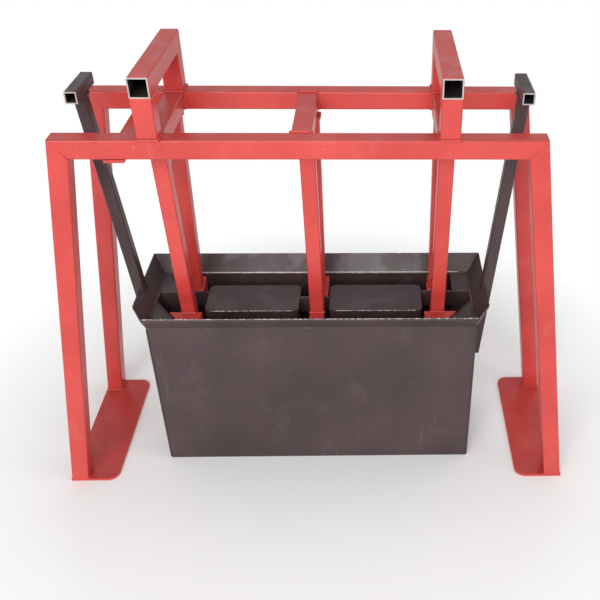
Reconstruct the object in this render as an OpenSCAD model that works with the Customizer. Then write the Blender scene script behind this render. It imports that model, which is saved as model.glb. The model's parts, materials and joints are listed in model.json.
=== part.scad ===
// Hand-operated concrete block mould: a welded stand whose stripper posts hold the block down,
// and a mould box with two cores that is pulled up off the block by its arms and grips.
// Millimetres, +Z up, origin on the floor at the centre of the stand.

/* [Stand] */
// Width over the top rails
top_w = 596; // [590:1:610]
// Depth over the top rails
top_d = 184; // [180:1:190]
// Height of the rails' top faces
top_h = 547; // [545:1:560]
// Width over the legs at the floor
floor_w = 750; // [730:1:780]
// Depth over the legs at the floor
floor_d = 232; // [220:1:250]
// Side of the square tube of rails, legs and handles
tube = 25; // [25:1:26]
// Wall of that tube
tube_wall = 2; // [1.5:0.5:3]
// Distance of the outer cross-members and handles from the centre
cross_x = 179; // [176:1:182]
// Height of the handle bars' top faces
handle_h = 623; // [605:1:640]
// Width of a foot plate
plate_w = 70; // [60:1:80]
// Thickness of a foot plate
plate_t = 4; // [3:1:6]
// Radius of a foot plate's inner corners
plate_r = 16; // [8:1:24]
// Width of the tie strap under the rails
strap_w = 25; // [20:1:30]
// Thickness of the tie strap
strap_t = 4; // [3:0.5:4]
// Distance of the tie strap from the centre
strap_x = 223; // [215:1:226]

/* [Stripper] */
// Side of a stripper post's square tube
post = 20; // [18:1:20]
// Depth from the centre at which the front posts leave the cross-members
front_top_y = 50; // [48:1:54]
// Depth from the centre at which the rear posts leave the cross-members
rear_top_y = 48; // [46:1:54]
// Depth from the centre of the front posts at the tops of the pads
front_foot_y = 26; // [25:1:30]
// Depth from the centre of the rear posts at the tops of the pads
rear_foot_y = 31; // [31:1:36]
// How far the middle posts stand to the right of the centre
middle_post_x = 5; // [0:1:8]
// Height of the pads' undersides, where the block ends
block_h = 232; // [228:1:234]
// Height of a pad
pad_h = 25; // [20:1:25]
// Clearance between a pad and what it passes
pad_gap = 3; // [2:0.5:4]

/* [Mould] */
// Length over the mould box
box_w = 465; // [463:1:467]
// Width over the mould box
box_d = 137.5; // [136:0.5:139]
// Height of the mould's walls
box_h = 258; // [258:1:260]
// Thickness of the walls
sheet_t = 3; // [2:0.5:4]
// Height that the flared rim adds
flare_h = 24; // [20:1:25]
// How far the rim stands out
flare_out = 18; // [14:1:19]
// Height of the flare's sheet, measured upright
flare_t = 4; // [3:0.5:5]
// Length of a core
core_w = 135; // [130:1:136]
// Width of a core
core_d = 66.8; // [60:0.2:68]
// Gap between the two cores
core_gap = 44; // [44:1:48]
// Draft of a core: how much each side draws in towards its foot
core_draft = 2.5; // [1:0.5:4]
// Corner radius of a core
core_r = 8; // [4:1:10]
// Length of a corner cut along the ends
cut_y = 57.75; // [50:0.25:60]
// Length of a corner cut along the front
cut_x = 41.5; // [30:0.5:42]
// Width of a rear corner filler
filler_w = 25; // [20:1:26]
// Depth of a rear corner filler
filler_d = 50; // [46:1:50]
// Side of the square tube of arms and grips
arm = 16; // [14:1:16]
// Height of an arm's lower end
arm_foot_z = 158; // [140:1:190]
// Height of the grips' top faces
grip_h = 585; // [575:1:600]
// Length of a grip
grip_l = 70; // [60:1:90]
// Distance of a grip from the centre
grip_x = 278.5; // [276:0.5:282]

/* [Hidden] */
// Outer corner radius of the square tubes
tube_r = 2.5;
// Wall of the thinner tubes
thin_wall = 2;
// Depth and height of the inner faces of the rails
rail_y = top_d / 2 - tube;
rail_z = top_h - tube;
// Spreads of a leg from its top to the floor
leg_dx = (floor_w - top_w) / 2;
leg_dy = (floor_d - top_d) / 2;
leg_tilt = atan(leg_dx / top_h);
leg_lean = atan(leg_dy * cos(leg_tilt) / top_h);
leg_w = tube / cos(leg_tilt);
// Inner corner of the mitre between rail and leg
mitre_in_x = top_w / 2 - leg_w + tube * tan(leg_tilt);
mitre_angle = atan((top_w / 2 - mitre_in_x) / tube);
// Inside of the mould box
in_x = box_w / 2 - sheet_t;
in_y = box_d / 2 - sheet_t;
// Rim of the flare, and the ends of its corner cuts
rim_z = box_h + flare_h;
rim_x = box_w / 2 + flare_out;
rim_y = box_d / 2 + flare_out;
rim_cut_x = box_w / 2;
rim_cut_y = rim_y - 32;
// Cores, bridges and pads
core_in = core_gap / 2;
core_out = core_in + core_w;
core_foot = 3;
bridge_gap = 0.1;
bridge_y = in_y - filler_d;
middle_bridge_t = 4;
pad_top = block_h + pad_h;
pad_out_y = in_y - pad_gap - 2;
// Front edge of a rear pad, behind its bridge
rear_pad_y = bridge_y + sheet_t + pad_gap;
// Rear edge of a front pad, just behind the face of its post
front_pad_y = front_foot_y + post / 2 - 2;
big = 1000;

stand_red = [0.86, 0.30, 0.25];
mould_brown = [0.30, 0.23, 0.22];

// Shared shapes

// Square with true round corners, centred on the origin
module round_square(w, r) {
    square([w, w - 2 * r], center = true);
    square([w - 2 * r, w], center = true);
    for (x = [-1, 1], y = [-1, 1])
        translate([x * (w / 2 - r), y * (w / 2 - r)])
            circle(r = r, $fn = 24);
}

// Section of a square tube
module tube_section(w, wall) {
    difference() {
        round_square(w, tube_r);
        square(w - 2 * wall, center = true);
    }
}

// Tube along +Z from the origin
module tube_up(w, wall, length) {
    linear_extrude(length) tube_section(w, wall);
}

// Everything between two heights
module layer(low, high) {
    translate([-big, -big, low]) cube([2 * big, 2 * big, high - low]);
}

// Sheet between a sloping outline and the same outline a little lower
module sloping_sheet(outline, drop) {
    count = len(outline);
    lowered = [for (p = outline) p - [0, 0, drop]];
    top = [[for (i = [count - 1 : -1 : 0]) i]];
    bottom = [[for (i = [0 : count - 1]) count + i]];
    sides = [for (i = [0 : count - 1]) [i, (i + 1) % count, (i + 1) % count + count, i + count]];
    polyhedron(concat(outline, lowered), concat(top, bottom, sides));
}

// Stand

// Rail along X at the front (side -1) or the rear (side 1), mitred to its legs
module top_rail(side) {
    color(stand_red)
        difference() {
            translate([-top_w / 2, side * (top_d - tube) / 2, top_h - tube / 2])
                rotate([0, 90, 0]) tube_up(tube, tube_wall, top_w);
            for (x = [-1, 1]) outside_mitre(x);
        }
}

// Half space outside the mitre plane of one end of the portal
module outside_mitre(x) {
    mirror([x < 0 ? 1 : 0, 0, 0])
        translate([top_w / 2, 0, top_h])
            rotate([0, mitre_angle, 0])
                translate([0, -big, -big]) cube([big, 2 * big, 2 * big]);
}

// Half space inside the same plane
module inside_mitre(x) {
    mirror([x < 0 ? 1 : 0, 0, 0])
        translate([top_w / 2, 0, top_h])
            rotate([0, mitre_angle, 0])
                translate([-big, -big, -big]) cube([big, 2 * big, 2 * big]);
}

// Leg that spreads outwards and to its own side, cut to the mitre and to the foot plate
module leg(x, y) {
    color(stand_red)
        difference() {
            intersection() {
                translate([x * (top_w - leg_w) / 2, y * (top_d - tube) / 2, top_h])
                    rotate([y * leg_lean, -x * leg_tilt, 0])
                        translate([0, 0, -top_h - 100]) tube_up(tube, tube_wall, top_h + 200);
                layer(plate_t, top_h);
            }
            inside_mitre(x);
        }
}

// Flat plate under the two legs of one side, with round inner corners
module foot_plate(x) {
    outer = floor_w / 2;
    color(stand_red)
        mirror([x < 0 ? 1 : 0, 0, 0])
            linear_extrude(plate_t) {
                translate([outer - plate_w + plate_r, -floor_d / 2])
                    square([plate_w - plate_r, floor_d]);
                translate([outer - plate_w, -floor_d / 2 + plate_r])
                    square([plate_w, floor_d - 2 * plate_r]);
                for (y = [-1, 1])
                    translate([outer - plate_w + plate_r, y * (floor_d / 2 - plate_r)])
                        circle(r = plate_r, $fn = 48);
            }
}

// Tube from rail to rail
module cross_member(x) {
    color(stand_red)
        translate([x * cross_x, rail_y, top_h - tube / 2])
            rotate([90, 0, 0]) tube_up(tube, tube_wall, 2 * rail_y);
}

// Flat bar under both rails, on the left only
module tie_strap() {
    color(stand_red)
        translate([-strap_x - strap_w / 2, -top_d / 2, rail_z - strap_t])
            cube([strap_w, top_d, strap_t]);
}

// Half space under and behind the mitre at a handle's rear corner
module behind_handle_mitre() {
    translate([0, top_d / 2, handle_h])
        rotate([-45, 0, 0])
            translate([-big, 0, -big]) cube([2 * big, big, 2 * big]);
}

// Handle bar, open at the front and mitred to its rear post
module handle_bar(x) {
    color(stand_red)
        difference() {
            translate([x * cross_x, top_d / 2, handle_h - tube / 2])
                rotate([90, 0, 0]) tube_up(tube, tube_wall, top_d);
            behind_handle_mitre();
        }
}

// Post between the front rail and the handle bar
module handle_front_post(x) {
    color(stand_red)
        translate([x * cross_x, -(top_d - tube) / 2, top_h])
            tube_up(tube, tube_wall, handle_h - tube - top_h);
}

// Post from the rear rail up to the mitre
module handle_rear_post(x) {
    color(stand_red)
        intersection() {
            translate([x * cross_x, (top_d - tube) / 2, top_h])
                tube_up(tube, tube_wall, handle_h - top_h);
            behind_handle_mitre();
        }
}

// Stripper

// Leaning run of a post, longer than needed at both ends
module post_run(x, y, top_y, foot_y, wall) {
    lean = atan((top_y - foot_y) / (rail_z - pad_top));
    post_x = x == 0 ? middle_post_x : x * cross_x;
    translate([post_x, y * top_y, rail_z])
        rotate([-y * lean, 0, 0])
            translate([0, 0, -rail_z])
                if (wall > 0) tube_up(post, wall, rail_z + 50);
                else linear_extrude(rail_z + 50) square(post, center = true);
}

// Front post, which runs down behind its pad to the block
module front_stripper_post(x) {
    color(stand_red)
        intersection() {
            post_run(x, -1, front_top_y, front_foot_y, thin_wall);
            layer(block_h, rail_z);
        }
}

// Rear post, which stands on its pad
module rear_stripper_post(x) {
    color(stand_red)
        intersection() {
            post_run(x, 1, rear_top_y, rear_foot_y, thin_wall);
            layer(pad_top, rail_z);
        }
}

// Pad in front of a side post, cut along the mould's corner plate
module side_front_pad(x) {
    cut_run = (pad_out_y - front_pad_y) * cut_x / cut_y;
    near_x = core_out + pad_gap;
    far_x = in_x - (cut_y - (in_y - front_pad_y)) * cut_x / cut_y - 1.5 * pad_gap;
    color(stand_red)
        difference() {
            mirror([x < 0 ? 1 : 0, 0, 0])
                translate([0, 0, block_h])
                    linear_extrude(pad_h)
                        polygon([
                            [near_x, -front_pad_y], [far_x, -front_pad_y],
                            [far_x - cut_run, -pad_out_y], [near_x, -pad_out_y]
                        ]);
            post_run(x, -1, front_top_y, front_foot_y, 0);
        }
}

// Narrow pad in front of the middle post
module middle_front_pad() {
    color(stand_red)
        difference() {
            translate([middle_post_x - post / 2, -pad_out_y, block_h])
                cube([post, pad_out_y - front_pad_y, pad_h]);
            post_run(0, -1, front_top_y, front_foot_y, 0);
        }
}

// Pad under a rear side post, as wide as the post
module side_rear_pad(x) {
    color(stand_red)
        translate([x * cross_x - post / 2, rear_pad_y, block_h])
            cube([post, pad_out_y - rear_pad_y, pad_h]);
}

// Pad under the middle rear post, from the post's left side to the right core
module middle_rear_pad() {
    low_x = middle_post_x - post / 2;
    high_x = core_in - pad_gap;
    low_y = middle_bridge_t + pad_gap;
    color(stand_red)
        translate([low_x, low_y, block_h]) cube([high_x - low_x, pad_out_y - low_y, pad_h]);
}

// Mould

// Long wall at the front (side -1) or the rear (side 1)
module long_wall(side) {
    low_y = side < 0 ? -box_d / 2 : box_d / 2 - sheet_t;
    color(mould_brown)
        translate([-box_w / 2, low_y, 0]) cube([box_w, sheet_t, box_h]);
}

// End wall between the long walls
module end_wall(x) {
    low_x = x < 0 ? -box_w / 2 : box_w / 2 - sheet_t;
    color(mould_brown)
        translate([low_x, -in_y, 0]) cube([sheet_t, 2 * in_y, box_h]);
}

// Flare over a long wall: straight ends at the front, mitred ends at the rear
module long_flare(side) {
    rim_end = side < 0 ? rim_cut_x : rim_x;
    outline = [
        [-box_w / 2, side * box_d / 2, box_h], [box_w / 2, side * box_d / 2, box_h],
        [rim_end, side * rim_y, rim_z], [-rim_end, side * rim_y, rim_z]
    ];
    color(mould_brown)
        sloping_sheet(side < 0 ? [for (i = [3 : -1 : 0]) outline[i]] : outline, flare_t);
}

// Flare over an end wall, notched where the arm passes
module end_flare(x) {
    outline = [
        [box_w / 2, box_d / 2, box_h], [box_w / 2, -box_d / 2, box_h],
        [rim_x, -rim_cut_y, rim_z], [rim_x, rim_y, rim_z]
    ];
    color(mould_brown)
        mirror([x < 0 ? 1 : 0, 0, 0])
            difference() {
                sloping_sheet(outline, flare_t);
                arm_run(0);
            }
}

// Three-cornered flare that closes a front corner
module corner_flare(x) {
    outline = [
        [box_w / 2, -box_d / 2, box_h], [rim_cut_x, -rim_y, rim_z], [rim_x, -rim_cut_y, rim_z]
    ];
    color(mould_brown)
        mirror([x < 0 ? 1 : 0, 0, 0])
            sloping_sheet(outline, flare_t);
}

// Upright plate across a front corner
module corner_plate(x) {
    run = norm([cut_x, cut_y]);
    back_x = sheet_t * run / cut_y;
    back_y = sheet_t * run / cut_x;
    color(mould_brown)
        mirror([x < 0 ? 1 : 0, 0, 0])
            linear_extrude(box_h)
                polygon([
                    [in_x, cut_y - in_y], [in_x - cut_x, -in_y],
                    [in_x - cut_x + back_x, -in_y], [in_x, cut_y - in_y - back_y]
                ]);
}

// Three-cornered cover over the space behind a corner plate
module gusset(x) {
    run = norm([cut_x, cut_y]);
    back_x = sheet_t * run / cut_y;
    back_y = sheet_t * run / cut_x;
    color(mould_brown)
        mirror([x < 0 ? 1 : 0, 0, 0])
            translate([0, 0, box_h - sheet_t])
                linear_extrude(sheet_t)
                    polygon([
                        [in_x, cut_y - in_y - back_y], [in_x - cut_x + back_x, -in_y], [in_x, -in_y]
                    ]);
}

// Folded filler in a rear corner, closed on top
module rear_filler(x) {
    low_x = in_x - filler_w;
    color(mould_brown)
        mirror([x < 0 ? 1 : 0, 0, 0]) {
            translate([low_x, bridge_y, 0]) cube([sheet_t, filler_d, box_h]);
            translate([low_x, bridge_y, 0]) cube([filler_w, sheet_t, box_h]);
            translate([low_x, bridge_y, box_h - sheet_t]) cube([filler_w, filler_d, sheet_t]);
        }
}

// Thin slab of a core's outline, drawn in by some amount all round
module core_slab(inset, z) {
    r = core_r;
    translate([core_in + core_w / 2, 0, z])
        linear_extrude(0.01)
            hull()
                for (a = [-1, 1], b = [-1, 1])
                    translate([a * (core_w / 2 - inset - r), b * (core_d / 2 - inset - r)])
                        circle(r = r, $fn = 32);
}

// Hollow core with draft, closed on top and open below
module core(x) {
    color(mould_brown)
        mirror([x < 0 ? 1 : 0, 0, 0])
            difference() {
                hull() {
                    core_slab(core_draft, core_foot);
                    core_slab(0, box_h - 0.01);
                }
                hull() {
                    core_slab(core_draft + sheet_t, core_foot - 1);
                    core_slab(sheet_t, box_h - sheet_t - 0.01);
                }
            }
}

// How far a core's side has drawn in at a height
function draft_at(z) = core_draft * (box_h - z) / (box_h - core_foot);

// Plate on edge that carries a core from its rear filler, its end cut to the core's draft
module end_bridge(x) {
    low_x = core_out - draft_at(block_h) + bridge_gap;
    high_x = core_out + bridge_gap;
    far_x = in_x - filler_w;
    color(mould_brown)
        mirror([x < 0 ? 1 : 0, 0, 0])
            translate([0, bridge_y + sheet_t, 0])
                rotate([90, 0, 0])
                    linear_extrude(sheet_t)
                        polygon([[low_x, block_h], [far_x, block_h], [far_x, box_h], [high_x, box_h]]);
}

// Plate on edge between the cores, its ends cut to their draft
module middle_bridge() {
    low_x = core_in + draft_at(block_h) - bridge_gap;
    high_x = core_in - bridge_gap;
    color(mould_brown)
        translate([0, middle_bridge_t, 0])
            rotate([90, 0, 0])
                linear_extrude(middle_bridge_t)
                    polygon([[-low_x, block_h], [low_x, block_h], [high_x, box_h], [-high_x, box_h]]);
}

// Leaning run of the right arm, longer than needed at both ends
module arm_run(wall) {
    foot_x = box_w / 2 + arm / 2;
    top_z = grip_h - arm;
    lean = atan((grip_x - foot_x) / (top_z - arm_foot_z));
    translate([foot_x + 0.5, 0, arm_foot_z])
        rotate([0, lean, 0])
            translate([0, 0, -50])
                if (wall > 0) tube_up(arm, wall, top_z - arm_foot_z + 100);
                else linear_extrude(top_z - arm_foot_z + 100) square(arm, center = true);
}

// Arm from the end wall up to its grip
module arm_tube(x) {
    color(mould_brown)
        mirror([x < 0 ? 1 : 0, 0, 0])
            intersection() {
                arm_run(thin_wall);
                layer(arm_foot_z, grip_h - arm);
            }
}

// Grip across the top of an arm, open at both ends
module grip(x) {
    color(mould_brown)
        translate([x * grip_x, grip_l / 2, grip_h - arm / 2])
            rotate([90, 0, 0]) tube_up(arm, thin_wall, grip_l);
}

top_rail(-1);  // front_top_rail
top_rail(1);  // rear_top_rail
leg(-1, -1);  // left_front_leg
leg(-1, 1);  // left_rear_leg
leg(1, -1);  // right_front_leg
leg(1, 1);  // right_rear_leg
foot_plate(-1);  // left_foot_plate
foot_plate(1);  // right_foot_plate
cross_member(-1);  // left_cross_member
cross_member(0);  // middle_cross_member
cross_member(1);  // right_cross_member
tie_strap();  // left_tie_strap
handle_bar(-1);  // left_handle_bar
handle_front_post(-1);  // left_handle_front_post
handle_rear_post(-1);  // left_handle_rear_post
handle_bar(1);  // right_handle_bar
handle_front_post(1);  // right_handle_front_post
handle_rear_post(1);  // right_handle_rear_post
front_stripper_post(-1);  // left_front_stripper_post
front_stripper_post(0);  // middle_front_stripper_post
front_stripper_post(1);  // right_front_stripper_post
rear_stripper_post(-1);  // left_rear_stripper_post
rear_stripper_post(0);  // middle_rear_stripper_post
rear_stripper_post(1);  // right_rear_stripper_post
side_front_pad(-1);  // left_front_pad
middle_front_pad();
side_front_pad(1);  // right_front_pad
side_rear_pad(-1);  // left_rear_pad
middle_rear_pad();
side_rear_pad(1);  // right_rear_pad
long_wall(-1);  // front_wall
long_wall(1);  // rear_wall
end_wall(-1);  // left_end_wall
end_wall(1);  // right_end_wall
long_flare(-1);  // front_flare
long_flare(1);  // rear_flare
end_flare(-1);  // left_flare
end_flare(1);  // right_flare
corner_flare(-1);  // left_corner_flare
corner_flare(1);  // right_corner_flare
corner_plate(-1);  // left_corner_plate
corner_plate(1);  // right_corner_plate
gusset(-1);  // left_gusset
gusset(1);  // right_gusset
rear_filler(-1);  // left_rear_filler
rear_filler(1);  // right_rear_filler
core(-1);  // left_core
core(1);  // right_core
end_bridge(-1);  // left_bridge
middle_bridge();
end_bridge(1);  // right_bridge
arm_tube(-1);  // left_arm
arm_tube(1);  // right_arm
grip(-1);  // left_grip
grip(1);  // right_grip
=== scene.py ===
"""Looks of a hand-operated concrete block mould: paint with painted shade on its tops, welds, worn edges and
painted highlights, painted shade in the tube bores, floor, light and camera.
"""
import json
import math
import random

import bmesh
import bpy
from mathutils import Matrix, Vector


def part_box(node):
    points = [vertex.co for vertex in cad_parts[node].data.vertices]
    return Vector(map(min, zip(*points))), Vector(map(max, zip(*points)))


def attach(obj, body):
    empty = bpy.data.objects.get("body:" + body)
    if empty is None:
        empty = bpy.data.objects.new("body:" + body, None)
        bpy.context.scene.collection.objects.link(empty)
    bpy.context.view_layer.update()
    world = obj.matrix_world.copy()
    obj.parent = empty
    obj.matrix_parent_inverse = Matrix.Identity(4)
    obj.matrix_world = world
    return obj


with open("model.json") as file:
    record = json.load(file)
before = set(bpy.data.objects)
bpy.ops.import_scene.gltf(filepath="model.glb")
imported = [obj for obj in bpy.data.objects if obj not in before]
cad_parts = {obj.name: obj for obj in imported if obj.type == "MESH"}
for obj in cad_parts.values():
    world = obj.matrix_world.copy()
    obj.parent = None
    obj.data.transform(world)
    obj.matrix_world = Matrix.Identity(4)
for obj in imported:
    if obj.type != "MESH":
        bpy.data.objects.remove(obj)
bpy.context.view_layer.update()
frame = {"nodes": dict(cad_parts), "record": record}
MM = 0.001

# Camera, in metres and degrees
CAMERA_AT = Vector((0.0867, -0.9956, 0.9467))
CAMERA_PITCH = 34.852
CAMERA_YAW = -1.920
CAMERA_ROLL = 0.854
CAMERA_FOCAL = 818.2 / 600
CAMERA_SHIFT = ((300 - 396.1) / 600, 0.0)
SENSOR_MM = 36.0

# Colours, linear
RED_FACE = (0.72, 0.070, 0.058, 1)
RED_DEEP = (0.60, 0.045, 0.038, 1)
RED_DUST = (0.70, 0.16, 0.13, 1)
BROWN_FACE = (0.078, 0.046, 0.050, 1)
BROWN_DEEP = (0.050, 0.028, 0.030, 1)
BROWN_DUST = (0.125, 0.090, 0.094, 1)
BARE_STEEL_AND_HIGHLIGHT = (0.62, 0.60, 0.58, 1)
RUST = (0.30, 0.20, 0.16, 1)
BORE_SHADE_BLACK = (0.012, 0.009, 0.009, 1)
BORE_SHADE_BROWN = (0.05, 0.03, 0.025, 1)
FLOOR_PALE = (0.92, 0.92, 0.92, 1)
WHITE = (1, 1, 1, 1)

# Sizes of what is added, in metres
EDGE_ROUND = 0.5 * MM
EDGE_STEPS = 2
EDGE_LEAST_ANGLE = math.radians(40)
SEAM_JOIN = 0.01 * MM
BEAD_RADIUS = 1.9 * MM
BEAD_STEP = 1.1 * MM
BEAD_SIDES = 8
BEAD_END = 0.45
BEAD_LEAST = 0.86
BEAD_RIPPLE = 0.16
RIPPLE_EVERY = 3
RING_PROUD = 0.25 * MM
WORN_AND_HIGHLIGHT_LINE_RADIUS = 0.7 * MM
CORE_EDGE_IN = 9 * MM
BEAD_PROUD = 0.6 * MM
MITRE_BEAD = 1.15 * MM
BOX_BEAD = 1.3 * MM
SHEET_BEAD = 1.6 * MM
BEND_HIGHLIGHT_RADIUS = 1.1 * MM
MITRE_RUN = 21.7 * MM
SEAM_END = 1 * MM
TUBE_WALL = 2 * MM
RING_EDGE = 0.4 * MM
FLOOR_HALF = 14
FLOOR_DROP = 0.2 * MM
LINER_DEPTH = 60 * MM
LINER_GAP = 0.15 * MM

# Surfaces that face up get extra gloss in patches where they are damp, and a share of a darker tone that is
# painted shade on the tops
WET_COAT = 0.4
TOP_SHADE_SHARE = 0.40
TOP_SHADE_TONE = 0.35

# Wear and painted highlight on edges: reach from an edge, share of the scratches' colour, metal of bare
# spots
EDGE_WEAR_AND_HIGHLIGHT_REACH = 1.4 * MM
SCRATCH_SHARE = 0.05
BARE_METAL = 0.75

# Distances from the object over which the floor turns white
FLOOR_NEAR = 0.40
FLOOR_FAR = 0.66

# Light: name, place, size of the lamp in metres, power in watts
LAMPS = (("front_key", (-0.5, -2.6, 1.9), (2.2, 1.6), 58),
         ("right_fill", (2.6, -0.8, 1.6), (1.6, 1.6), 10),
         ("top_soft", (0.2, 0.5, 2.6), (2.4, 1.6), 12))
LAMP_TARGET = (0, 0, 0.3)
WORLD_LIGHT = 0.50

SIDES = (("left", -1), ("right", 1))
ROWS = ("front", "rear")

random.seed(7)


# Materials

def new_material(name):
    material = bpy.data.materials.new(name)
    material.use_nodes = True
    nodes = material.node_tree.nodes
    nodes.clear()
    output = nodes.new("ShaderNodeOutputMaterial")
    shader = nodes.new("ShaderNodeBsdfPrincipled")
    material.node_tree.links.new(shader.outputs["BSDF"], output.inputs["Surface"])
    return material, shader


def object_coordinates(tree, stretch=(1, 1, 1)):
    place = tree.nodes.new("ShaderNodeTexCoord")
    mapping = tree.nodes.new("ShaderNodeMapping")
    mapping.inputs["Scale"].default_value = stretch
    tree.links.new(place.outputs["Object"], mapping.inputs["Vector"])
    return mapping.outputs["Vector"]


def noise(tree, scale, detail=4.0, stretch=(1, 1, 1), roughness=0.55):
    node = tree.nodes.new("ShaderNodeTexNoise")
    node.inputs["Scale"].default_value = scale
    node.inputs["Detail"].default_value = detail
    node.inputs["Roughness"].default_value = roughness
    tree.links.new(object_coordinates(tree, stretch), node.inputs["Vector"])
    return node.outputs["Fac"]


def ramp(tree, source, low, high, low_value=0.0, high_value=1.0):
    node = tree.nodes.new("ShaderNodeMapRange")
    node.inputs["From Min"].default_value = low
    node.inputs["From Max"].default_value = high
    node.inputs["To Min"].default_value = low_value
    node.inputs["To Max"].default_value = high_value
    tree.links.new(source, node.inputs["Value"])
    return node.outputs["Result"]


def blotches(tree, scale, detail, low, high, least=0.0, most=1.0, stretch=(1, 1, 1), roughness=0.55):
    """Noise cut between two levels, so that it lies on the surface in patches."""
    return ramp(tree, noise(tree, scale, detail, stretch, roughness), low, high, least, most)


def math_node(tree, operation, first, second):
    node = tree.nodes.new("ShaderNodeMath")
    node.operation = operation
    for socket, value in zip(node.inputs, (first, second)):
        if isinstance(value, (int, float)):
            socket.default_value = value
        else:
            tree.links.new(value, socket)
    return node.outputs["Value"]


def mix_colour(tree, factor, first, second):
    node = tree.nodes.new("ShaderNodeMix")
    node.data_type = "RGBA"
    tree.links.new(factor, node.inputs["Factor"])
    for socket, value in ((node.inputs["A"], first), (node.inputs["B"], second)):
        if isinstance(value, tuple):
            socket.default_value = value
        else:
            tree.links.new(value, socket)
    return node.outputs["Result"]


def edge_mask(tree, radius, low, high):
    """How near a point is to an outer or inner edge, from the normal that rounding would give it."""
    bevel = tree.nodes.new("ShaderNodeBevel")
    bevel.samples = 4
    bevel.inputs["Radius"].default_value = radius
    geometry = tree.nodes.new("ShaderNodeNewGeometry")
    dot = tree.nodes.new("ShaderNodeVectorMath")
    dot.operation = "DOT_PRODUCT"
    tree.links.new(bevel.outputs["Normal"], dot.inputs[0])
    tree.links.new(geometry.outputs["Normal"], dot.inputs[1])
    return ramp(tree, dot.outputs["Value"], high, low)


def bump(tree, height, strength, distance):
    node = tree.nodes.new("ShaderNodeBump")
    node.inputs["Strength"].default_value = strength
    node.inputs["Distance"].default_value = distance
    tree.links.new(height, node.inputs["Height"])
    return node.outputs["Normal"]


def facing_up(tree):
    """One on surfaces that face up, nothing on upright ones."""
    surface = tree.nodes.new("ShaderNodeNewGeometry")
    parts = tree.nodes.new("ShaderNodeSeparateXYZ")
    tree.links.new(surface.outputs["Normal"], parts.inputs[0])
    return ramp(tree, parts.outputs["Z"], low=0.35, high=0.75)


def paint_material(name, face, deep, dust, wear_and_highlight_low, wear_and_highlight_high, gloss, coat, chips):
    """Brushed paint with cloudy colour, dust, damp gloss and painted shade on the tops, fine scratches, and
    bare steel on edges, partly wear and partly a painted highlight on the rounded corners.
    """
    material, shader = new_material(name)
    tree = material.node_tree
    clouds = blotches(tree, scale=9, detail=3, low=0.35, high=0.68)
    colour = mix_colour(tree, clouds, deep, face)
    dusty = blotches(tree, scale=26, detail=8, low=0.56, high=0.78, most=0.55, stretch=(1, 1, 0.6),
                     roughness=0.7)
    colour = mix_colour(tree, dusty, colour, dust)

    upward = facing_up(tree)
    # Painted shade: surfaces that face up take a share of a darker tone
    painted_top_shade = tuple(TOP_SHADE_TONE * value for value in deep[:3]) + (1,)
    colour = mix_colour(tree, math_node(tree, "MULTIPLY", upward, TOP_SHADE_SHARE), colour, painted_top_shade)
    puddles = blotches(tree, scale=24, detail=5, low=0.50, high=0.60)
    wet = math_node(tree, "MULTIPLY", upward, puddles)
    wet = math_node(tree, "MULTIPLY", wet, WET_COAT)

    scratches = blotches(tree, scale=150, detail=2, low=0.66, high=0.70, stretch=(1, 1, 0.06))
    patches = blotches(tree, scale=7, detail=2, low=0.50, high=0.62)
    scratches = math_node(tree, "MULTIPLY", scratches, patches)
    specks = blotches(tree, scale=320, detail=2, low=chips, high=chips + 0.015)
    # Lighter steel colour on edges: partly wear, partly a painted highlight along the rounded corners
    edges = edge_mask(tree, EDGE_WEAR_AND_HIGHLIGHT_REACH, low=0.80, high=0.97)
    ragged = blotches(tree, scale=70, detail=6, low=wear_and_highlight_low, high=wear_and_highlight_high, roughness=0.75)
    edge_wear_and_highlight = math_node(tree, "MULTIPLY", edges, ragged)
    bare_and_highlight = math_node(tree, "MAXIMUM", edge_wear_and_highlight, specks)
    light = math_node(tree, "MAXIMUM", bare_and_highlight, math_node(tree, "MULTIPLY", scratches, SCRATCH_SHARE))
    colour = mix_colour(tree, light, colour, BARE_STEEL_AND_HIGHLIGHT)
    tree.links.new(colour, shader.inputs["Base Color"])
    tree.links.new(math_node(tree, "MULTIPLY", bare_and_highlight, BARE_METAL), shader.inputs["Metallic"])

    smooth = blotches(tree, scale=18, detail=5, low=0.3, high=0.7, least=gloss - 0.07, most=gloss + 0.12)
    tree.links.new(smooth, shader.inputs["Roughness"])
    tree.links.new(math_node(tree, "ADD", wet, coat), shader.inputs["Coat Weight"])
    shader.inputs["Coat Roughness"].default_value = 0.12

    grain = noise(tree, scale=260, detail=3)
    brush = math_node(tree, "MULTIPLY", noise(tree, scale=60, detail=4), 1.5)
    skin = math_node(tree, "ADD", grain, brush)
    skin = math_node(tree, "SUBTRACT", skin, math_node(tree, "MULTIPLY", bare_and_highlight, 0.5))
    tree.links.new(bump(tree, skin, strength=0.35, distance=0.25 * MM), shader.inputs["Normal"])
    return material


def steel_and_bend_highlight_material():
    """Bare steel with a little rust, for cut ends, and for the painted highlight along the rear bend."""
    material, shader = new_material("bare_steel_and_bend_highlight")
    tree = material.node_tree
    rust = blotches(tree, scale=90, detail=6, low=0.45, high=0.75, most=0.6)
    tree.links.new(mix_colour(tree, rust, BARE_STEEL_AND_HIGHLIGHT, RUST), shader.inputs["Base Color"])
    shader.inputs["Metallic"].default_value = 0.7
    smooth = blotches(tree, scale=200, detail=3, low=0.3, high=0.7, least=0.3, most=0.55)
    tree.links.new(smooth, shader.inputs["Roughness"])
    skin = noise(tree, scale=400, detail=3)
    tree.links.new(bump(tree, skin, strength=0.3, distance=0.2 * MM), shader.inputs["Normal"])
    return material


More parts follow.
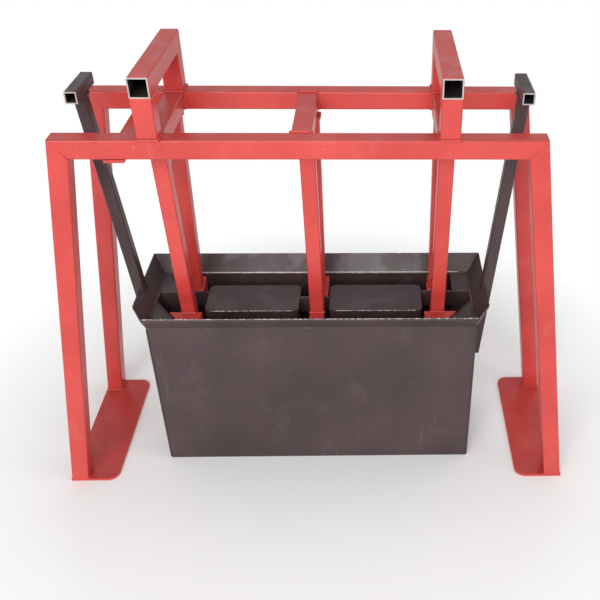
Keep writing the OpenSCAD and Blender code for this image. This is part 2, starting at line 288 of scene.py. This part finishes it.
def bore_shade_material():
    """Near-black inside of the open tubes: painted shade in the bores, over unpainted, stained steel."""
    material, shader = new_material("tube_inside_painted_shade")
    tree = material.node_tree
    stain = blotches(tree, scale=60, detail=4, low=0.4, high=0.7)
    # Painted shade: a near-black bore with brown stains
    tree.links.new(mix_colour(tree, stain, BORE_SHADE_BLACK, BORE_SHADE_BROWN), shader.inputs["Base Color"])
    skin = noise(tree, scale=220, detail=3)
    tree.links.new(bump(tree, skin, strength=0.2, distance=0.2 * MM), shader.inputs["Normal"])
    shader.inputs["Roughness"].default_value = 0.8
    return material


def floor_material():
    """Pale floor that keeps the object's shadow near it and turns to the white backdrop further out."""
    material, shader = new_material("floor_pale")
    tree = material.node_tree
    shader.inputs["Base Color"].default_value = FLOOR_PALE
    shader.inputs["Roughness"].default_value = 0.9
    shader.inputs["Specular IOR Level"].default_value = 0.1
    place = tree.nodes.new("ShaderNodeTexCoord")
    length = tree.nodes.new("ShaderNodeVectorMath")
    length.operation = "LENGTH"
    tree.links.new(place.outputs["Object"], length.inputs[0])
    far = ramp(tree, length.outputs["Value"], FLOOR_NEAR, FLOOR_FAR)
    white = tree.nodes.new("ShaderNodeEmission")
    white.inputs["Color"].default_value = WHITE
    white.inputs["Strength"].default_value = 1.0
    path = tree.nodes.new("ShaderNodeLightPath")
    mix = tree.nodes.new("ShaderNodeMixShader")
    tree.links.new(math_node(tree, "MULTIPLY", far, path.outputs["Is Camera Ray"]), mix.inputs["Fac"])
    tree.links.new(shader.outputs["BSDF"], mix.inputs[1])
    tree.links.new(white.outputs["Emission"], mix.inputs[2])
    output = next(n for n in tree.nodes if n.type == "OUTPUT_MATERIAL")
    tree.links.new(mix.outputs["Shader"], output.inputs["Surface"])
    return material


RED = paint_material("red_gloss_paint", RED_FACE, RED_DEEP, RED_DUST,
                     wear_and_highlight_low=0.64, wear_and_highlight_high=0.70, gloss=0.33, coat=0.15, chips=0.765)
BROWN = paint_material("brown_worn_paint", BROWN_FACE, BROWN_DEEP, BROWN_DUST,
                       wear_and_highlight_low=0.56, wear_and_highlight_high=0.62, gloss=0.42, coat=0.05, chips=0.765)
WORN_AND_HIGHLIGHT = paint_material("brown_paint_worn_and_highlight_line", BROWN_FACE, BROWN_DEEP, BROWN_DUST,
                      wear_and_highlight_low=0.3, wear_and_highlight_high=0.5, gloss=0.4, coat=0.1, chips=0.53)
STEEL_AND_BEND_HIGHLIGHT = steel_and_bend_highlight_material()
BORE_SHADE = bore_shade_material()


# Mesh helpers

def mesh_object(name, vertices, faces, material, body, smooth=False):
    mesh = bpy.data.meshes.new(name)
    mesh.from_pydata([tuple(v) for v in vertices], [], faces)
    mesh.validate()
    built = bmesh.new()
    built.from_mesh(mesh)
    bmesh.ops.recalc_face_normals(built, faces=built.faces)
    built.to_mesh(mesh)
    built.free()
    for polygon in mesh.polygons:
        polygon.use_smooth = smooth
    mesh.materials.append(material)
    piece = bpy.data.objects.new(name, mesh)
    bpy.context.scene.collection.objects.link(piece)
    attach(piece, body)


def bead_mesh(paths, radius):
    """Rippled weld beads along paths, each a list of corner points; all as one set of vertices and faces."""
    vertices, faces = [], []
    for path in paths:
        points = []
        for start, end in zip(path, path[1:]):
            steps = max(2, round((end - start).length / BEAD_STEP))
            points += [start.lerp(end, i / steps) for i in range(steps)]
        points.append(path[-1])
        first = len(vertices)
        for index, point in enumerate(points):
            before = points[max(index - 1, 0)]
            after = points[min(index + 1, len(points) - 1)]
            along = (after - before).normalized()
            across = along.orthogonal().normalized()
            other = along.cross(across)
            taper = BEAD_END if index in (0, len(points) - 1) else 1.0
            ripple = BEAD_RIPPLE * (index % RIPPLE_EVERY == 0)
            size = radius * taper * (BEAD_LEAST + ripple + random.uniform(-0.08, 0.10))
            for k in range(BEAD_SIDES):
                angle = 2 * math.pi * k / BEAD_SIDES
                vertices.append(point + size * (math.cos(angle) * across + math.sin(angle) * other))
        for ring in range(len(points) - 1):
            for k in range(BEAD_SIDES):
                a = first + ring * BEAD_SIDES + k
                b = first + ring * BEAD_SIDES + (k + 1) % BEAD_SIDES
                faces.append((a, b, b + BEAD_SIDES, a + BEAD_SIDES))
        faces.append(tuple(first + k for k in range(BEAD_SIDES)))
        last = first + (len(points) - 1) * BEAD_SIDES
        faces.append(tuple(last + k for k in reversed(range(BEAD_SIDES))))
    return vertices, faces


def weld(name, paths, body, material, radius):
    vertices, faces = bead_mesh(paths, radius)
    mesh_object(name, vertices, faces, material, body, smooth=True)


def stand_weld(name, paths, radius=BEAD_RADIUS):
    weld(name, paths, "stand", RED, radius)


def mould_weld(name, paths, radius, material=BROWN):
    weld(name, paths, "mould", material, radius)


def side_x(low, high, x):
    """The box's side that faces left (x is -1) or right (x is 1)."""
    return high.x if x > 0 else low.x


def loop_xy(low, high, z, grow=BEAD_PROUD):
    corners = [(low[0] - grow, low[1] - grow), (high[0] + grow, low[1] - grow),
               (high[0] + grow, high[1] + grow), (low[0] - grow, high[1] + grow)]
    return [Vector((x, y, z)) for x, y in corners + corners[:1]]


def loop_xz(low, high, y, grow=BEAD_PROUD):
    corners = [(low[0] - grow, low[2]), (low[0] - grow, high[2] + grow),
               (high[0] + grow, high[2] + grow), (high[0] + grow, low[2])]
    return [Vector((x, y, z)) for x, z in corners]


# Finish of the carried-over solids

def dress_frame():
    """Paint on the solids, with their sharp edges rounded a little."""
    bodies = frame["record"]["behaviour"]["bodies"]
    for body, members in bodies.items():
        material = RED if body == "stand" else BROWN
        for name in members:
            node = frame["nodes"][name]
            node.data.materials.clear()
            node.data.materials.append(material)
            join = node.modifiers.new("join_seams", "WELD")
            join.merge_threshold = SEAM_JOIN
            edge = node.modifiers.new("soft_edges", "BEVEL")
            edge.width = EDGE_ROUND
            edge.segments = EDGE_STEPS
            edge.limit_method = "ANGLE"
            edge.angle_limit = EDGE_LEAST_ANGLE
            shade = node.modifiers.new("even_shading", "WEIGHTED_NORMAL")
            shade.keep_sharp = True


def handle_welds(side):
    paths = []
    for row in ROWS:
        low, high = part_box(f"{side}_handle_{row}_post")
        paths.append(loop_xy(low, high, low.z + 0.3 * MM))
    low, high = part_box(f"{side}_handle_front_post")
    bar_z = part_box(f"{side}_handle_bar")[0].z
    paths.append(loop_xy(low, high, bar_z - 0.2 * MM, 0.1 * MM)[1:4])
    stand_weld(f"{side}_handle_welds", paths)


def cross_member_welds(place):
    """Welds from a cross member to both rails, and round the tops of its two leaning posts."""
    low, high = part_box(f"{place}_cross_member")
    paths = [loop_xz(low, high, low.y), loop_xz(low, high, high.y)]
    for row in ROWS:
        post_low, post_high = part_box(f"{place}_{row}_stripper_post")
        width = post_high.x - post_low.x
        near_y = post_low.y if row == "front" else post_high.y - width
        far_y = post_low.y + width if row == "front" else post_high.y
        paths.append(loop_xy((post_low.x, near_y), (post_high.x, far_y), low.z - 0.4 * MM))
    stand_weld(f"{place}_cross_member_welds", paths)


def pad_welds(place):
    """Welds from two posts to their pads: three sides at the front, all round at the rear."""
    paths = []
    for row in ROWS:
        low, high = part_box(f"{place}_{row}_stripper_post")
        pad_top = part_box(f"{place}_{row}_pad")[1].z
        width = high.x - low.x
        if row == "front":
            y = high.y - width - 2.3 * MM
            left = low.x - BEAD_PROUD
            right = high.x + BEAD_PROUD
            back = y + 1.5 * MM
            paths.append([Vector((left, back, pad_top)), Vector((left, y, pad_top)),
                          Vector((right, y, pad_top)), Vector((right, back, pad_top))])
        else:
            paths.append(loop_xy((low.x, low.y), (high.x, low.y + width), pad_top))
    stand_weld(f"{place}_pad_welds", paths)


def foot_welds(side, x):
    """Welds along the inner sides of both legs on a foot plate."""
    low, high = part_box(f"{side}_foot_plate")
    member_low, member_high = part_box("left_cross_member")
    width = (member_high.x - member_low.x) * 1.01
    edge_x = side_x(low, high, x)
    inner_x = edge_x - x * width - x * 0.5 * MM
    paths = []
    for y, edge_y in ((-1, low.y), (1, high.y)):
        inner_y = edge_y - y * width - y * 0.5 * MM
        paths.append([Vector((inner_x, edge_y, high.z)), Vector((inner_x, inner_y, high.z)),
                      Vector((edge_x, inner_y, high.z))])
    stand_weld(f"{side}_foot_welds", paths)


def mitre_seams(row):
    """Ground weld seams across both mitres of a portal, on its front and rear faces."""
    low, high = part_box(f"{row}_top_rail")
    rail_low, rail_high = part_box("front_top_rail")
    thickness = rail_high.z - rail_low.z
    paths = []
    for x, edge in ((-1, low.x), (1, high.x)):
        for y in (low.y + 0.9 * MM, high.y - 0.9 * MM):
            outer = Vector((edge - x * SEAM_END, y, high.z - SEAM_END))
            inner = Vector((edge - x * (MITRE_RUN - SEAM_END), y, high.z - thickness + SEAM_END))
            paths.append([outer, inner])
    stand_weld(f"{row}_mitre_seams", paths, MITRE_BEAD)


def stand_welds():
    for side, _ in SIDES:
        handle_welds(side)
    for place in ("left", "middle", "right"):
        cross_member_welds(place)
        pad_welds(place)
    for side, x in SIDES:
        foot_welds(side, x)
    for row in ROWS:
        mitre_seams(row)


def box_corner_welds():
    front_low, front_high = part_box("front_wall")
    rear_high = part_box("rear_wall")[1]
    paths = []
    for edge in (-front_high.x, front_high.x):
        for y in (front_low.y, rear_high.y):
            paths.append([Vector((edge, y, 2 * MM)), Vector((edge, y, front_high.z - 5 * MM))])
    mould_weld("box_corner_welds", paths, BOX_BEAD)


def bridge_end_path(low, high, x, proud):
    """Up the front of a bridge's end and back across its top."""
    return [Vector((x, low.y - proud, low.z + 1 * MM)), Vector((x, low.y - proud, high.z)),
            Vector((x, high.y + proud, high.z))]


def bridge_welds():
    paths = []
    for side, _ in SIDES:
        low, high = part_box(f"{side}_bridge")
        paths += [bridge_end_path(low, high, end, BEAD_PROUD) for end in (low.x, high.x)]
    low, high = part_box("middle_bridge")
    for end in (low.x + 0.3 * MM, high.x - 0.3 * MM):
        paths.append(bridge_end_path(low, high, end, 0.5 * MM))
    mould_weld("bridge_welds", paths, SHEET_BEAD)


def corner_cover_welds(top):
    """Welds along the gussets at the front corners and the fillers at the rear corners."""
    paths = []
    for side, x in SIDES:
        low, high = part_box(f"{side}_gusset")
        inner = side_x(low, high, -x)
        outer = side_x(low, high, x)
        paths.append([Vector((outer, high.y + 4 * MM, top)), Vector((inner - x * 3 * MM, low.y, top))])
        paths.append([Vector((outer, low.y, top)), Vector((outer, high.y, top))])
        low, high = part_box(f"{side}_rear_filler")
        near = side_x(low, high, -x)
        far = side_x(low, high, x)
        paths.append([Vector((near, high.y, top)), Vector((far, high.y, top)), Vector((far, low.y, top))])
    mould_weld("corner_cover_welds", paths, BOX_BEAD)


def arm_welds(side, x, wall_x):
    """Welds from an arm to its grip, to the end wall and to the rim."""
    low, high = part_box(f"{side}_arm")
    grip_low, grip_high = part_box(f"{side}_grip")
    centre = (grip_low.x + grip_high.x) / 2
    half = (grip_high.x - grip_low.x) / 2
    paths = [loop_xy((centre - half, low.y), (centre + half, high.y), grip_low.z - 0.3 * MM, 0.4 * MM)]
    for y in (low.y, high.y):
        paths.append([Vector((wall_x + x * 0.6 * MM, y, low.z + 1 * MM)),
                      Vector((wall_x + x * 1.2 * MM, y, low.z + 40 * MM))])
    rim_low, rim_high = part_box(f"{side}_flare")
    rim_x = side_x(rim_low, rim_high, x)
    for y in (low.y, high.y):
        paths.append([Vector((rim_x - x * 5 * MM, y, rim_high.z - 6 * MM)),
                      Vector((rim_x, y, rim_high.z - 0.5 * MM))])
    mould_weld(f"{side}_arm_welds", paths, SHEET_BEAD)


def mould_welds():
    wall_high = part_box("front_wall")[1]
    box_corner_welds()
    bridge_welds()
    corner_cover_welds(wall_high.z)
    for side, x in SIDES:
        arm_welds(side, x, x * wall_high.x)


def line_along(name, start_x, end_x, y, z, radius, material):
    """Thin line along X on the mould."""
    mould_weld(name, [[Vector((start_x, y, z)), Vector((end_x, y, z))]], radius, material)


def worn_and_highlight_lines():
    """Bright, ragged lines: wear where the trowel has worn the flare's rim, and painted highlights along the
    bend and the cores.
    """
    wall_low, wall_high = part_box("front_wall")
    rear_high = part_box("rear_wall")[1]
    front_low, front_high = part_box("front_flare")
    bend = wall_high.z
    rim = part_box("rear_flare")[1].z
    # Painted highlight: a bright steel line along the rear bend
    line_along("rear_bend_highlight", wall_low.x + 14 * MM, wall_high.x - 14 * MM,
               rear_high.y - 0.6 * MM, bend + 0.3 * MM, BEND_HIGHLIGHT_RADIUS, STEEL_AND_BEND_HIGHLIGHT)
    line_along("front_rim_line", front_low.x + 1 * MM, front_high.x - 1 * MM,
               front_low.y + 0.5 * MM, rim - 0.3 * MM, WORN_AND_HIGHLIGHT_LINE_RADIUS, WORN_AND_HIGHLIGHT)
    for side, _ in SIDES:
        low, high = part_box(f"{side}_core")
        # Painted highlight: bright ragged lines along the cores' top front edges
        line_along(f"{side}_core_edge_highlight", low.x + CORE_EDGE_IN, high.x - CORE_EDGE_IN,
                   low.y + 0.4 * MM, high.z - 0.4 * MM, WORN_AND_HIGHLIGHT_LINE_RADIUS, WORN_AND_HIGHLIGHT)
    line_along("front_bend_line", wall_low.x + 1 * MM, wall_high.x - 1 * MM,
               wall_low.y, bend - 4 * MM, WORN_AND_HIGHLIGHT_LINE_RADIUS, BROWN)


def tube_end_ring(name, centre, side, body):
    """Thin square ring of bare steel on the open end of a tube that runs along Y; faces -Y."""
    vertices = []
    for y in (centre.y, centre.y - RING_PROUD):
        for half in (side / 2 - RING_EDGE, side / 2 - TUBE_WALL):
            for sx, sz in ((-1, -1), (1, -1), (1, 1), (-1, 1)):
                vertices.append(Vector((centre.x + sx * half, y, centre.z + sz * half)))
    faces = []
    for k in range(4):
        n = (k + 1) % 4
        faces.append((8 + k, 8 + n, 12 + n, 12 + k))
        faces.append((k, n, 8 + n, 8 + k))
        faces.append((4 + k, 4 + n, 12 + n, 12 + k))
        faces.append((k, n, 4 + n, 4 + k))
    mesh_object(name, vertices, faces, STEEL_AND_BEND_HIGHLIGHT, body)


def tube_shade_liner(name, centre, side, body):
    """Near-black inside of a tube along Y, from its open front end at centre: painted shade in the bore."""
    half = side / 2 - TUBE_WALL - LINER_GAP
    vertices = []
    for y in (centre.y + LINER_GAP, centre.y + LINER_DEPTH):
        for sx, sz in ((-1, -1), (1, -1), (1, 1), (-1, 1)):
            vertices.append(Vector((centre.x + sx * half, y, centre.z + sz * half)))
    faces = [(k, (k + 1) % 4, 4 + (k + 1) % 4, 4 + k) for k in range(4)]
    mesh_object(name, vertices, faces, BORE_SHADE, body)


def tube_centre(low, high, y):
    return Vector(((low.x + high.x) / 2, y, (low.z + high.z) / 2))


def open_ends():
    """Bare cut ends, and painted shade inside the handle bars and grips."""
    for side, _ in SIDES:
        low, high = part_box(f"{side}_handle_bar")
        centre = tube_centre(low, high, low.y)
        tube_end_ring(f"{side}_handle_end", centre, high.x - low.x, "stand")
        tube_shade_liner(f"{side}_handle_inside_shade", centre, high.x - low.x, "stand")
        low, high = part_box(f"{side}_grip")
        for label, y in (("front", low.y), ("rear", high.y + RING_PROUD)):
            centre = tube_centre(low, high, y)
            tube_end_ring(f"{side}_grip_{label}_end", centre, high.x - low.x, "mould")
        centre = tube_centre(low, high, low.y)
        tube_shade_liner(f"{side}_grip_inside_shade", centre, high.x - low.x, "mould")


# Stage

def build_stage():
    mesh = bpy.data.meshes.new("floor")
    corners = ((-1, -1), (1, -1), (1, 1), (-1, 1))
    mesh.from_pydata([(FLOOR_HALF * x, FLOOR_HALF * y, 0) for x, y in corners], [], [(0, 1, 2, 3)])
    mesh.materials.append(floor_material())
    floor = bpy.data.objects.new("floor", mesh)
    floor.location.z = -FLOOR_DROP
    bpy.context.scene.collection.objects.link(floor)


def area_light(name, at, target, size, power):
    data = bpy.data.lights.new(name, "AREA")
    data.shape = "RECTANGLE"
    data.size = size[0]
    data.size_y = size[1]
    data.energy = power
    lamp = bpy.data.objects.new(name, data)
    bpy.context.scene.collection.objects.link(lamp)
    lamp.location = at
    lamp.rotation_euler = (Vector(target) - Vector(at)).to_track_quat("-Z", "Y").to_euler()


def build_light():
    """Soft lamps, and a white surround that the camera sees brighter than it lights."""
    for name, at, size, power in LAMPS:
        area_light(name, at, LAMP_TARGET, size, power)
    world = bpy.data.worlds.new("studio")
    bpy.context.scene.world = world
    world.use_nodes = True
    nodes = world.node_tree.nodes
    nodes.clear()
    output = nodes.new("ShaderNodeOutputWorld")
    light = nodes.new("ShaderNodeBackground")
    light.inputs["Color"].default_value = WHITE
    light.inputs["Strength"].default_value = WORLD_LIGHT
    seen = nodes.new("ShaderNodeBackground")
    seen.inputs["Color"].default_value = WHITE
    seen.inputs["Strength"].default_value = 1.0
    path = nodes.new("ShaderNodeLightPath")
    mix = nodes.new("ShaderNodeMixShader")
    world.node_tree.links.new(path.outputs["Is Camera Ray"], mix.inputs["Fac"])
    world.node_tree.links.new(light.outputs["Background"], mix.inputs[1])
    world.node_tree.links.new(seen.outputs["Background"], mix.inputs[2])
    world.node_tree.links.new(mix.outputs["Shader"], output.inputs["Surface"])


def build_camera():
    """Camera at the photographed viewing angle, from its turn, tilt and roll."""
    yaw = math.radians(CAMERA_YAW)
    pitch = math.radians(CAMERA_PITCH)
    roll = math.radians(CAMERA_ROLL)
    right = Vector((math.cos(yaw), math.sin(yaw), 0))
    level = Vector((-math.sin(yaw), math.cos(yaw), 0))
    upright = Vector((0, 0, 1))
    forward = math.cos(pitch) * level - math.sin(pitch) * upright
    up = math.sin(pitch) * level + math.cos(pitch) * upright
    turned_right = math.cos(roll) * right + math.sin(roll) * up
    turned_up = -math.sin(roll) * right + math.cos(roll) * up
    data = bpy.data.cameras.new("camera")
    data.sensor_width = SENSOR_MM
    data.lens = CAMERA_FOCAL * SENSOR_MM
    data.shift_x, data.shift_y = CAMERA_SHIFT
    camera = bpy.data.objects.new("camera", data)
    bpy.context.scene.collection.objects.link(camera)
    turn = Matrix((turned_right, turned_up, -forward)).transposed().to_4x4()
    camera.matrix_world = Matrix.Translation(CAMERA_AT) @ turn
    bpy.context.scene.camera = camera


build_camera()
dress_frame()
stand_welds()
mould_welds()
worn_and_highlight_lines()
open_ends()
build_stage()
build_light()
bpy.context.scene.view_settings.view_transform = "Standard"
